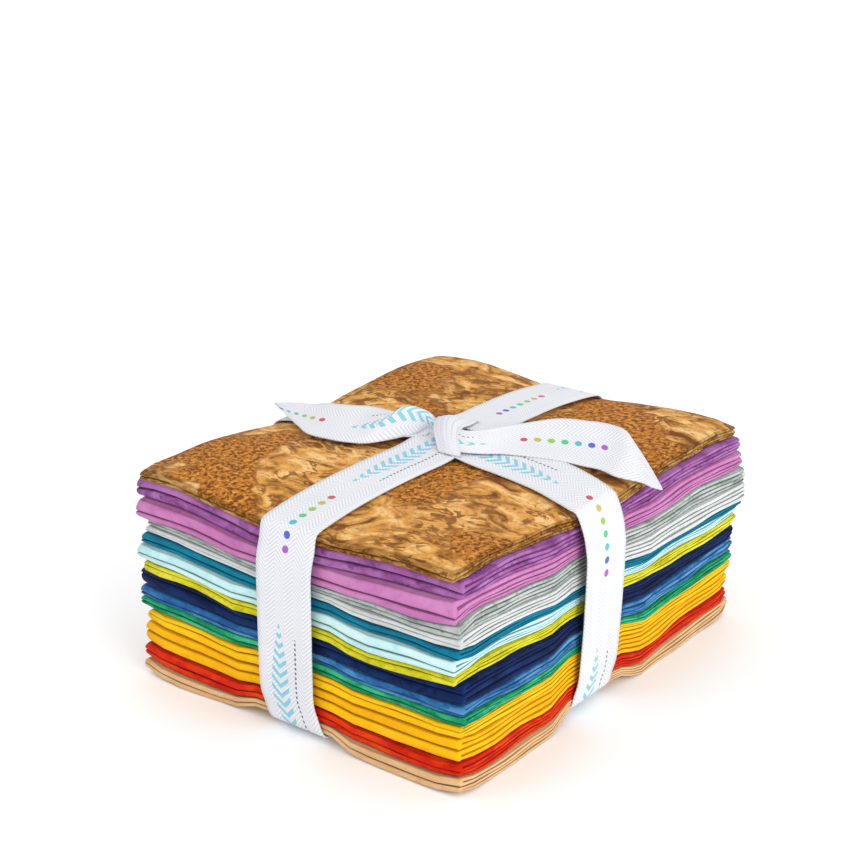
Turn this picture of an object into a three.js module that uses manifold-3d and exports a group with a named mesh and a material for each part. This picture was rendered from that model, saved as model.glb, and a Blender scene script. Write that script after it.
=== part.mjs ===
import * as THREE from 'three';
import { mergeVertices } from 'three/addons/utils/BufferGeometryUtils.js';
import Module from 'manifold-3d';

// Fat quarter bundle: fifteen folded cuts of quilting cotton, stacked and tied with one ribbon.
// Millimetres, +Z up. The origin is in the middle of the underside, where the ribbon crosses itself.

// A fat quarter is 18 x 22 inches. Folded in four each way it is 4.5 x 5.5 inches.
const inch = 25.4;
const foldedWidth = 18 * inch / 4;
const foldedDepth = 22 * inch / 4;
const halfWidth = foldedWidth / 2;
const halfDepth = foldedDepth / 2;
const stackHeight = 63.1;
const layerGap = 0.2;
const pieceGap = 0.58;

// Ribbon, and the lane that it presses into the stack. Its pinch on the top reaches to pinchEnd.
const ribbonWidth = 19.4;
const ribbonThick = 1;
const grooveHalf = 11.5;
const grooveDepth = 1.4;
const laneRise = 2.2;
const lobeStart = 25;
const pinchEnd = 52;
const pinchPower = 1.7;
const crossSlant = -0.1;
const edgeClear = 1.1;
const bendRadius = 2.2;
const sideBow = 1.5;

// Soft shape of the whole stack.
const crowns = { left: 4.4, front: 3, right: 2.2, back: 3.2 };
const edgeFall = 0.25;
const northFall = 0.5;
const cornerDroop = 0.8;
const cornerCurl = 1.4;
const ribbonLift = 2.2;

// Where the cloth is sampled between its edges, across the width and along the depth.
const widthStations = [-34, -grooveHalf, grooveHalf, 34];
const depthStations = [-60, -38, -grooveHalf, grooveHalf, 38, 60];
const turnSteps = 3;

// Places round the stack where the thickness of each fat quarter is given.
const thicknessPlaces = {
  left: [-50, -70],
  south: [0, -70],
  lane: [43, -70],
  front: [57, -70],
  near: [57, -63],
  east: [57, 0],
  right: [57, 55],
  back: [-57, 70],
};
const placeReach = 6;

// Fat quarters from the bottom up: thickness at those places, then the share of the upper pair of
// layers, then how far each edge stands out. EastBack is the east edge at +Y.
const fatQuarters = [
  { name: 'tan', colour: 0xd9b48c,
    left: 3.8, south: 2.8, lane: 4.9, front: 4.6, near: 4.1, east: 3, right: 5, back: 4.4,
    upper: 0.5, southOut: 1.1, eastOut: 1.3, eastBack: 2.6, northOut: 1.4, westOut: 1.4 },
  { name: 'red', colour: 0xd8350f,
    left: 5, south: 4.3, lane: 4.2, front: 3.7, near: 5.3, east: 4, right: 3.6, back: 4.3,
    upper: 0.6, southOut: 0.2, eastOut: 0.6, eastBack: 1.2, northOut: 0.3, westOut: 2.2 },
  { name: 'gold', colour: 0xf2b010,
    left: 7.2, south: 6, lane: 6.4, front: 7, near: 6.6, east: 6, right: 5.8, back: 6.3,
    upper: 0.44, southOut: -0.3, eastOut: 0.4, eastBack: 0.6, northOut: 0.8, westOut: 1.2 },
  { name: 'yellow', colour: 0xf5c62a,
    left: 4.2, south: 4.8, lane: 4.1, front: 3.8, near: 4.4, east: 4, right: 4, back: 4.1,
    upper: 0.34, southOut: -0.7, eastOut: 0.6, eastBack: 0.9, northOut: 1.2, westOut: 0 },
  { name: 'green', colour: 0x1f9a6c,
    left: 3.5, south: 3.1, lane: 2.8, front: 2.6, near: 2.6, east: 2.4, right: 3.4, back: 3.4,
    upper: 0.68, southOut: -1.2, eastOut: 1.2, eastBack: 0.8, northOut: 1, westOut: 2.4 },
  { name: 'blue', colour: 0x3f6fae,
    left: 3.9, south: 3.1, lane: 3.2, front: 3.4, near: 3.2, east: 3.9, right: 4.5, back: 4.1,
    upper: 0.72, southOut: -0.9, eastOut: 0.8, eastBack: 1.2, northOut: 1.8, westOut: 2 },
  { name: 'navy', colour: 0x16305f,
    left: 5.8, south: 4.3, lane: 4.8, front: 5.1, near: 7, east: 5.4, right: 3.8, back: 4.8,
    upper: 0.38, southOut: -0.9, eastOut: 0.8, eastBack: 0.8, northOut: 1.4, westOut: 1.6 },
  { name: 'lime', colour: 0xcfc61e,
    left: 3.9, south: 3.4, lane: 3.8, front: 3.4, near: 3.1, east: 3.6, right: 3.7, back: 3.8,
    upper: 0.32, southOut: 0.9, eastOut: -0.7, eastBack: 1.2, northOut: 2.6, westOut: -1.5 },
  { name: 'aqua', colour: 0xbfe6ea,
    left: 5, south: 5.2, lane: 5.5, front: 5.6, near: 2.4, east: 2.4, right: 3, back: 4,
    upper: 0.66, southOut: 1.2, eastOut: -1, eastBack: 0.6, northOut: 2, westOut: 0.4 },
  { name: 'teal', colour: 0x128aa0,
    left: 3.5, south: 3.2, lane: 2.7, front: 2.5, near: 3, east: 2.4, right: 2.6, back: 3.1,
    upper: 0.68, southOut: 0.4, eastOut: -0.4, eastBack: 1.8, northOut: 3, westOut: -0.4 },
  { name: 'cream', colour: 0xdcdcd4,
    left: 2.2, south: 2.2, lane: 2.4, front: 2.4, near: 5.4, east: 5.4, right: 6.2, back: 3.8,
    upper: 0.46, southOut: 0, eastOut: 0.1, eastBack: 2.4, northOut: 3.6, westOut: -1.2 },
  { name: 'sage', colour: 0xb9c4b4,
    left: 2.3, south: 2.2, lane: 2.8, front: 3, near: 4.9, east: 4.6, right: 5, back: 3.9,
    upper: 0.54, southOut: -0.3, eastOut: 0.1, eastBack: 2, northOut: 3.4, westOut: -1.3 },
  { name: 'pink', colour: 0xd07ab8,
    left: 6.1, south: 5.8, lane: 7.4, front: 7.8, near: 4.7, east: 4.5, right: 5.3, back: 5.8,
    upper: 0.64, southOut: 0.6, eastOut: -0.5, eastBack: 1.4, northOut: 2.4, westOut: 0.6 },
  { name: 'purple', colour: 0x9660a8,
    left: 6.3, south: 5.8, lane: 5.8, front: 5.8, near: 5.3, east: 4.9, right: 4.4, back: 5.3,
    upper: 0.56, southOut: -0.9, eastOut: 0.7, eastBack: 1.6, northOut: 2, westOut: 1.8 },
  { name: 'brown', colour: 0xb27c36,
    left: 3.4, south: 3, lane: 3.8, front: 3.5, near: 2.9, east: 3.5, right: 3.5, back: 3.5,
    upper: 0.56, southOut: 1, eastOut: -0.8, eastBack: 0, northOut: 1, westOut: -1.4 },
];

// Free tails of the ribbon, from the knot out: the near edge faces -Y, the far edge +Y.
const rightTail = [
  { near: [2, -4, 67.2], far: [1, 4, 71] },
  { near: [13.5, -2.4, 67.4], far: [9.2, 5.2, 70] },
  { near: [27.3, 6.9, 67.2], far: [16.7, 21.2, 71] },
  { near: [42.5, 8, 66.2], far: [33.6, 24.4, 72.2] },
  { near: [53.9, 8, 65.5], far: [46.1, 24.6, 72.2] },
  { near: [59.9, 11.2, 64.2], far: [50.4, 22.8, 70.2] },
  { near: [65.4, 13.6, 62.4], far: [59.5, 18.6, 65.9] },
];
const leftTail = [
  { near: [-2, -5, 67.2], far: [-1, 5, 70.5] },
  { near: [-10.5, -10.5, 66.9], far: [-12.4, 2.5, 71] },
  { near: [-19.6, -20.5, 66.9], far: [-25.5, -2.2, 71.4] },
  { near: [-34, -22.7, 67.2], far: [-39.5, -3.9, 69.6] },
  { near: [-44, -17.4, 66.9], far: [-54, -5.4, 67.4] },
  { near: [-50, -13.5, 66.4], far: [-61.6, -6.7, 66.4] },
];
const knotCentre = [-1, 0.5, 70.2];
const knotRadii = [6.5, 9, 4.4];

function lerp(a, b, t) {
  return a + (b - a) * t;
}

function smooth(from, to, value) {
  const t = Math.min(Math.max((value - from) / (to - from), 0), 1);
  return t * t * (3 - 2 * t);
}

// Centre line of the band that runs across the width, which slants on its east half, and both bands'
// pressure: 1 under the ribbon.
function crossLine(x) {
  return crossSlant * Math.max(x, 0);
}

function pressAlong(x) {
  return 1 - smooth(grooveHalf, lobeStart, Math.abs(x));
}

function pressAcross(x, y) {
  return 1 - smooth(grooveHalf, lobeStart, Math.abs(y - crossLine(x)));
}

// How far the ribbon pulls the top down, from 1 under it to 0 at the corners' side.
function pinch(distance) {
  const t = THREE.MathUtils.clamp((distance - grooveHalf) / (pinchEnd - grooveHalf), 0, 1);
  return (1 - t) ** pinchPower;
}

// Height of the top of the stack: four soft lobes between the two lanes of the ribbon. A lane is
// highest in the middle and dips at the edges, where the ribbon is tight.
function topHeight(x, y) {
  const u = Math.abs(x) / halfWidth;
  const v = Math.abs(y) / halfDepth;
  const pinches = pinch(Math.abs(x)) ** 3 + pinch(Math.abs(y - crossLine(x))) ** 3;
  const pinched = Math.min(Math.cbrt(pinches), 1);
  const east = smooth(-halfWidth, halfWidth, x);
  const south = lerp(crowns.left, crowns.front, east);
  const north = lerp(crowns.back, crowns.right, east);
  const crown = lerp(south, north, smooth(-halfDepth, halfDepth, y));
  const lobe = crown * (1 - edgeFall * u ** 4) * (1 - (y > 0 ? northFall : edgeFall) * v ** 4);
  const lane = lerp(laneRise, -grooveDepth, Math.min(Math.max(u, v), 1) ** 4);
  return stackHeight - cornerDroop * (u * v) ** 8 + lerp(lobe, lane, pinched);
}

// Height of the underside of the ribbon, which rises a little where it goes round the lower edges.
function ribbonUnder(share) {
  return ribbonLift * share ** 10;
}

// Height of the underside of the cloth: flat on the surface between the two grooves.
function bottomHeight(x, y) {
  const u = Math.abs(x) / halfWidth;
  const v = Math.abs(y) / halfDepth;
  const along = pressAlong(x) * (ribbonThick + pieceGap + ribbonUnder(v));
  const across = pressAcross(x, y) * (ribbonThick + pieceGap + ribbonUnder(u));
  return Math.max(along, across) + cornerCurl * (u * v) ** 10;
}

// Share of the stack's height that lies below fat quarter number index, at a place in the plan: a
// mean of the places where it is given, the nearest counting most.
function shareBelow(index, x, y) {
  let sum = 0;
  let weights = 0;
  for (const [place, [placeX, placeY]] of Object.entries(thicknessPlaces)) {
    const total = fatQuarters.reduce((all, row) => all + row[place], 0);
    const below = fatQuarters.slice(0, index).reduce((all, row) => all + row[place], 0);
    const weight = 1 / ((x - placeX) ** 2 + (y - placeY) ** 2 + placeReach ** 2) ** 2;
    sum += weight * below / total;
    weights += weight;
  }
  return sum / weights;
}

function interfaceHeight(index, x, y) {
  return lerp(bottomHeight(x, y), topHeight(x, y), shareBelow(index, x, y));
}

// Past the last station the cloth goes on straight to its edge, so that neighbours stay parallel.
function heightAt(index, x, y, nominalX, nominalY) {
  const innerX = THREE.MathUtils.clamp(nominalX, widthStations[0], widthStations.at(-1));
  const innerY = THREE.MathUtils.clamp(nominalY, depthStations[0], depthStations.at(-1));
  const shareX = nominalX === innerX ? 0 : (x - innerX) / (nominalX - innerX);
  const shareY = nominalY === innerY ? 0 : (y - innerY) / (nominalY - innerY);
  const at = (atX, atY) => interfaceHeight(index, atX, atY);
  const inner = lerp(at(innerX, innerY), at(nominalX, innerY), shareX);
  const outer = lerp(at(innerX, nominalY), at(nominalX, nominalY), shareX);
  return lerp(inner, outer, shareY);
}

// Places of the stations along the depth: the two at the groove follow the slanting band.
function depthPlaces(x) {
  const shift = crossLine(x);
  return depthStations.map((y) => (Math.abs(y) <= grooveHalf ? y + shift : y));
}

// One column of the cloth: its place in the plan and its lower and upper faces.
function column(index, x, y, nominalX, nominalY) {
  const low = heightAt(index, x, y, nominalX, nominalY) + (index > 0 ? pieceGap / 2 : 0);
  const high = heightAt(index + 1, x, y, nominalX, nominalY) - pieceGap / 2;
  return { x, y, low, high };
}

// Lower and upper faces of the four layers, above the lower face of a column.
function layerLevels(thick, upperShare) {
  const lowerPair = (thick - layerGap) * (1 - upperShare);
  const upperPair = (thick - layerGap) * upperShare;
  const lowerLayer = (lowerPair - layerGap) / 2;
  const upperLayer = (upperPair - layerGap) / 2;
  const third = lowerPair + layerGap;
  return [
    [0, lowerLayer],
    [lowerLayer + layerGap, lowerPair],
    [third, third + upperLayer],
    [third + upperLayer + layerGap, thick],
  ];
}

// The back-and-forth section at one place across the width, walked from the lower free end to the
// upper one. Each step has a point on either side of the cloth.
function foldedSection(index, nominalX) {
  const cloth = fatQuarters[index];
  const atEdge = Math.abs(nominalX) === halfWidth;
  const free = 1 - pressAlong(nominalX);
  const south = -halfDepth - cloth.southOut * free;
  const north = halfDepth + cloth.northOut * free;
  const places = depthPlaces(nominalX);

  const columnAt = (y, nominalY) => {
    const eastOut = lerp(cloth.eastOut, cloth.eastBack, 0.5 + nominalY / foldedDepth);
    const out = (nominalX > 0 ? eastOut : cloth.westOut) * (1 - pressAcross(nominalX, nominalY));
    const x = atEdge ? nominalX + Math.sign(nominalX) * out : nominalX;
    return column(index, x, y, nominalX, nominalY);
  };
  const levelsOf = (col) => layerLevels(col.high - col.low, cloth.upper);
  const point = (col, height) => new THREE.Vector3(col.x, col.y, col.low + height);

  // Lower and upper face of one layer at each station, from south to north.
  const layer = (number) => places.map((y) => {
    const col = columnAt(y, y);
    const [low, high] = levelsOf(col)[number];
    return { low: point(col, low), high: point(col, high) };
  });
  // A turn from one layer up to the next: a half round outside, and the gap's end inside.
  const turn = (number, edge, nominalEdge, inward) => {
    const first = levelsOf(columnAt(edge, nominalEdge));
    const radius = (first[number + 1][1] - first[number][0]) / 2;
    const insideCol = columnAt(edge + inward * (radius + layerGap), nominalEdge);
    const insideLevels = levelsOf(insideCol);
    const inside = [
      point(insideCol, insideLevels[number][1]),
      point(insideCol, insideLevels[number + 1][0]),
    ];
    const steps = [];
    for (let step = 0; step <= turnSteps; step += 1) {
      const angle = (step / turnSteps - 0.5) * Math.PI;
      const col = columnAt(edge + inward * radius * (1 - Math.cos(angle)), nominalEdge);
      const levels = levelsOf(col);
      const middle = (levels[number][0] + levels[number + 1][1]) / 2;
      const outside = point(col, middle + radius * Math.sin(angle));
      steps.push({ outside, inside: inside[step * 2 < turnSteps ? 0 : 1] });
    }
    return steps;
  };
  const freeEnd = (number) => {
    const col = columnAt(north, halfDepth);
    const [low, high] = levelsOf(col)[number];
    return { low: point(col, low), high: point(col, high) };
  };

  const southward = (steps) => steps.map((s) => [s.low, s.high]);
  const northward = (steps) => steps.map((s) => [s.high, s.low]);
  return [
    ...southward([freeEnd(0), ...layer(0).reverse()]),
    ...turn(0, south, -halfDepth, 1).map((s) => [s.outside, s.inside]),
    ...northward(layer(1)),
    ...turn(1, north, halfDepth, -1).map((s) => [s.inside, s.outside]),
    ...southward(layer(2).reverse()),
    ...turn(2, south, -halfDepth, 1).map((s) => [s.outside, s.inside]),
    ...northward([...layer(3), freeEnd(3)]),
  ];
}

function meshFrom(points, triangles) {
  const geometry = new THREE.BufferGeometry();
  const coords = points.flatMap((p) => [p.x, p.y, p.z]);
  geometry.setAttribute('position', new THREE.Float32BufferAttribute(coords, 3));
  geometry.setIndex(triangles);
  return geometry;
}

// Sections joined from west to east, with both ends capped.
function foldedCloth(index) {
  const stations = [-halfWidth, ...widthStations, halfWidth];
  const sections = stations.map((x) => {
    const steps = foldedSection(index, x);
    const outline = [...steps.map((s) => s[0]), ...steps.map((s) => s[1]).reverse()];
    return { steps, outline: outline.filter((p, i) => p !== outline[i - 1]) };
  });
  const count = sections[0].outline.length;
  const triangles = [];
  for (let i = 0; i + 1 < sections.length; i += 1) {
    for (let j = 0; j < count; j += 1) {
      const next = (j + 1) % count;
      const a = i * count + j;
      const b = i * count + next;
      const c = (i + 1) * count + next;
      const d = (i + 1) * count + j;
      // Every quad is split along the same diagonal of the plan, so that neighbours lie parallel.
      if (sections[i].outline[next].y > sections[i].outline[j].y) {
        triangles.push(a, c, b, a, d, c);
      } else {
        triangles.push(a, d, b, b, d, c);
      }
    }
  }
  // Each end cap is a strip of quads, from step to step along the folded layers.
  const cap = (section, start, flip) => {
    const number = new Map(section.outline.map((p, i) => [p, start + i]));
    for (let i = 0; i + 1 < section.steps.length; i += 1) {
      const [a, d] = section.steps[i].map((p) => number.get(p));
      const [b, c] = section.steps[i + 1].map((p) => number.get(p));
      for (const face of [[a, b, c], [a, c, d]]) {
        if (new Set(face).size === 3) {
          triangles.push(...(flip ? face.reverse() : face));
        }
      }
    }
  };
  cap(sections[0], 0, false);
  cap(sections.at(-1), (sections.length - 1) * count, true);
  return meshFrom(sections.flatMap((s) => s.outline), triangles);
}

// Mitred offset of a closed path in a vertical plane. The path runs clockwise seen from its right.
function offsetPath(path, distance) {
  return path.map((p, i) => {
    const before = path[(i + path.length - 1) % path.length];
    const after = path[(i + 1) % path.length];
    const inDir = new THREE.Vector2(p.d - before.d, p.z - before.z).normalize();
    const outDir = new THREE.Vector2(after.d - p.d, after.z - p.z).normalize();
    const normal = new THREE.Vector2(-(inDir.y + outDir.y), inDir.x + outDir.x).normalize();
    const miter = distance / Math.max(normal.dot(new THREE.Vector2(-inDir.y, inDir.x)), 0.5);
    return { ...p, d: p.d + normal.x * miter, z: p.z + normal.y * miter };
  });
}

// Quarter bend round an edge of the stack, from one straight to the next.
function bend(cornerD, cornerZ, fromAngle, half) {
  const steps = 3;
  const points = [];
  for (let step = 0; step <= steps; step += 1) {
    const angle = fromAngle - step / steps * Math.PI / 2;
    const d = cornerD + bendRadius * Math.cos(angle);
    const z = cornerZ + bendRadius * Math.sin(angle);
    points.push({ d, z, half });
  }
  return points;
}

// Inner face of one band, from the top middle round by the far side, the underside and the near side.
function bandPath(stations, reach, place) {
  const half = ribbonWidth / 2;
  const gathered = { d: 0, z: topHeight(0, 0) + 3.4, half: 5.5 };
  const side = reach + edgeClear;
  const cornerD = side - bendRadius;
  const topEdge = (sign) => topHeight(...place(sign * reach)) + edgeClear;
  const underEdge = ribbonThick + ribbonUnder(1) - pieceGap;
  const sideMiddle = (sign) => {
    return { d: sign * (side + sideBow), z: (topEdge(sign) + underEdge) / 2, half };
  };
  const topRun = (d) => ({ d, z: topHeight(...place(d)) + pieceGap, half });
  const underRun = (d) => ({ d, z: ribbonThick + ribbonUnder(Math.abs(d) / reach), half });
  const mirrored = [...stations].reverse();
  return [
    gathered,
    ...stations.map(topRun),
    ...bend(cornerD, topEdge(1) - bendRadius, Math.PI / 2, half),
    sideMiddle(1),
    ...bend(cornerD, underEdge + bendRadius, 0, half),
    ...mirrored.map(underRun),
    { d: 0, z: ribbonThick, half },
    ...stations.map((d) => underRun(-d)),
    ...bend(-cornerD, underEdge + bendRadius, -Math.PI / 2, half),
    sideMiddle(-1),
    ...bend(-cornerD, topEdge(-1) - bendRadius, -Math.PI, half),
    ...mirrored.map((d) => topRun(-d)),
  ];
}

// Closed ring of ribbon. The function toSpace puts a point of the band in the bundle's frame.
function bandRing(path, toSpace) {
  const outer = offsetPath(path, ribbonThick);
  const points = [];
  path.forEach((p, i) => {
    const q = outer[i];
    points.push(toSpace(p, -p.half), toSpace(p, p.half), toSpace(q, q.half), toSpace(q, -q.half));
  });
  const triangles = [];
  for (let i = 0; i < path.length; i += 1) {
    const here = i * 4;
    const next = ((i + 1) % path.length) * 4;
    for (let j = 0; j < 4; j += 1) {
      const k = (j + 1) % 4;
      triangles.push(here + j, next + k, next + j, here + j, here + k, next + k);
    }
  }
  return meshFrom(points, triangles);
}

// A tail lofted through its stations, the last of which is the slanting cut. Towards is +1 for a
// tail that runs to +X and -1 for one that runs to -X.
function tailStrip(stations, towards) {
  const edges = stations.map((s) => [new THREE.Vector3(...s.near), new THREE.Vector3(...s.far)]);
  if (towards < 0) {
    edges.reverse();
  }
  const points = [];
  edges.forEach(([near, far], i) => {
    const [backNear, backFar] = edges[Math.max(i - 1, 0)];
    const [aheadNear, aheadFar] = edges[Math.min(i + 1, edges.length - 1)];
    const along = aheadNear.clone().add(aheadFar).sub(backNear).sub(backFar);
    const normal = along.cross(far.clone().sub(near)).normalize();
    normal.multiplyScalar(normal.z < 0 ? -1 : 1);
    const rise = normal.multiplyScalar(ribbonThick / 2);
    points.push(near.clone().sub(rise), far.clone().sub(rise));
    points.push(far.clone().add(rise), near.clone().add(rise));
  });
  const triangles = [];
  for (let i = 0; i + 1 < edges.length; i += 1) {
    for (let j = 0; j < 4; j += 1) {
      const k = (j + 1) % 4;
      const here = i * 4;
      const next = here + 4;
      triangles.push(here + j, next + k, next + j, here + j, here + k, next + k);
    }
  }
  const end = (edges.length - 1) * 4;
  triangles.push(0, 2, 1, 0, 3, 2, end, end + 1, end + 2, end, end + 2, end + 3);
  return meshFrom(points, triangles);
}

function knotLump() {
  const lump = new THREE.SphereGeometry(1, 14, 8);
  lump.scale(...knotRadii);
  lump.translate(...knotCentre);
  return lump;
}

const wasm = await Module();
wasm.setup();

function toSolid(geometry) {
  const bare = new THREE.BufferGeometry();
  bare.setAttribute('position', geometry.getAttribute('position'));
  bare.setIndex(geometry.getIndex());
  const merged = mergeVertices(bare, 1e-4);
  const solid = new wasm.Manifold(new wasm.Mesh({
    numProp: 3,
    vertProperties: new Float32Array(merged.getAttribute('position').array),
    triVerts: new Uint32Array(merged.getIndex().array),
  }));
  return solid;
}

function fromSolid(solid) {
  const mesh = solid.getMesh();
  const geometry = new THREE.BufferGeometry();
  geometry.setAttribute('position', new THREE.BufferAttribute(new Float32Array(mesh.vertProperties), 3));
  geometry.setIndex(new THREE.BufferAttribute(new Uint32Array(mesh.triVerts), 1));
  return geometry;
}

// One length of ribbon: a band each way, the knot on top and two tails.
function tieRibbon() {
  const alongPath = bandPath([grooveHalf, 38, 60], halfDepth, (d) => [0, d]);
  const acrossPath = bandPath([grooveHalf, 34], halfWidth, (d) => [d, crossLine(d)]);
  const along = bandRing(alongPath, (p, side) => new THREE.Vector3(-side, p.d, p.z));
  const across = bandRing(acrossPath, (p, side) => new THREE.Vector3(p.d, crossLine(p.d) + side, p.z));
  const pieces = [along, across, knotLump(), tailStrip(rightTail, 1), tailStrip(leftTail, -1)];
  return fromSolid(pieces.map(toSolid).reduce((sum, piece) => sum.add(piece)));
}

function named(name, geometry, colour, roughness) {
  const material = new THREE.MeshStandardMaterial({ color: colour, roughness, metalness: 0 });
  const mesh = new THREE.Mesh(geometry, material);
  mesh.name = name;
  return mesh;
}

const bundle = new THREE.Group();
fatQuarters.forEach((cloth, index) => {
  bundle.add(named(`fat_quarter_${cloth.name}`, foldedCloth(index), cloth.colour, 0.85));
});
bundle.add(named('tie_ribbon', tieRibbon(), 0xf2f4f8, 0.6));

export default bundle;
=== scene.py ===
import math

import bmesh
import bpy
import numpy as np
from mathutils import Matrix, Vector


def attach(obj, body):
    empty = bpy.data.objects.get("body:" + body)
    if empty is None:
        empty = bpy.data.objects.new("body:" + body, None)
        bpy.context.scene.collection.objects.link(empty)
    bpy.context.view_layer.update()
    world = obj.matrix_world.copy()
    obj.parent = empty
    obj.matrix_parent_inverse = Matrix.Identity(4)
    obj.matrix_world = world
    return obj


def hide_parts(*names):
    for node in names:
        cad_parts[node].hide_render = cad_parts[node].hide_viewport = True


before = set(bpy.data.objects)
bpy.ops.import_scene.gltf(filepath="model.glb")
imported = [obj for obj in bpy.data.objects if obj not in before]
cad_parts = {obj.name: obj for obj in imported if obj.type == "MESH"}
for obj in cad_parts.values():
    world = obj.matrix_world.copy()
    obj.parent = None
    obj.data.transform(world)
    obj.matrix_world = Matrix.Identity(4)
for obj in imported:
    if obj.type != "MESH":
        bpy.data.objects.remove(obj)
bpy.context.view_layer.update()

print("frame loaded:", len(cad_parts), "nodes")

# Fat quarter bundle: fifteen folded cuts of cotton in a stack, tied both ways with one white ribbon.
# Sizes are in millimetres until a mesh is made, and in metres in the finishes and the studio.
# +Z is up, the width lies along X and the depth along Y, and the origin is the middle of the underside.

camera = {
    "lens": 76.1,
    "sensorWidth": 36,
    "clipStart": 0.01,
    "place": (0.3042, -0.4010, 0.2543),
    "back": (0.5730, -0.7428, 0.3462),  # from the bundle to the camera
}


def makeCamera(values):
    data = bpy.data.cameras.new("bundleCamera")
    data.lens = values["lens"]
    data.sensor_width = values["sensorWidth"]
    data.clip_start = values["clipStart"]
    made = bpy.data.objects.new("bundleCamera", data)
    made.location = values["place"]
    made.rotation_mode = "QUATERNION"
    made.rotation_quaternion = Vector(values["back"]).to_track_quat("Z", "Y")
    bpy.context.scene.collection.objects.link(made)
    bpy.context.scene.camera = made


makeCamera(camera)
print("camera set")

stack = {
    "width": 114.3,  # 18 inches folded in four
    "depth": 139.7,  # 22 inches folded in four
    "height": 63.1,
    "crowns": {"left": 4.4, "front": 3.0, "right": 2.2, "back": 3.2},  # lobes between the ribbons
    "edgeFall": 0.25,  # share of a lobe's height that is lost at the edge, and at the north one
    "northFall": 0.5,
    "cornerDroop": 0.8,
    "cornerCurl": 1.4,  # the lower corners leave the table a little
    "edgePower": 4,  # how close to the edges and the corners these falls and lifts begin
    "cornerPower": 8,
    "liftPower": 10,
    "grooveHalf": 11.5,  # half the width of the lane under a ribbon
    "grooveDepth": 1.4,  # how far the ribbon pulls the edges down
    "laneRise": 2.2,  # and the cloth under it rises to this in the middle
    "lobeStart": 25.0,  # where the cloth is free of the ribbon, underneath and on top
    "pinchEnd": 52.0,
    "pinchPower": 1.7,
    "pinchJoin": 3,  # how sharply the two lanes run into each other
    "crossSlant": -0.1,  # slope of the ribbon that runs across, on its right half
    "bandRoom": 1.3,  # height left for the ribbon under the stack, and more at the edges
    "bandLift": 2.2,
    "pieceGap": 0.25,
    "placeReach": 6.0,  # how softly one place gives way to the next
    "places": {  # where the cuts' thicknesses are given
        "left": (-50, -70),
        "south": (0, -70),
        "lane": (43, -70),
        "front": (57, -70),
        "near": (57, -63),
        "east": (57, 0),
        "right": (57, 55),
        "back": (-57, 70),
    },
}

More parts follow.
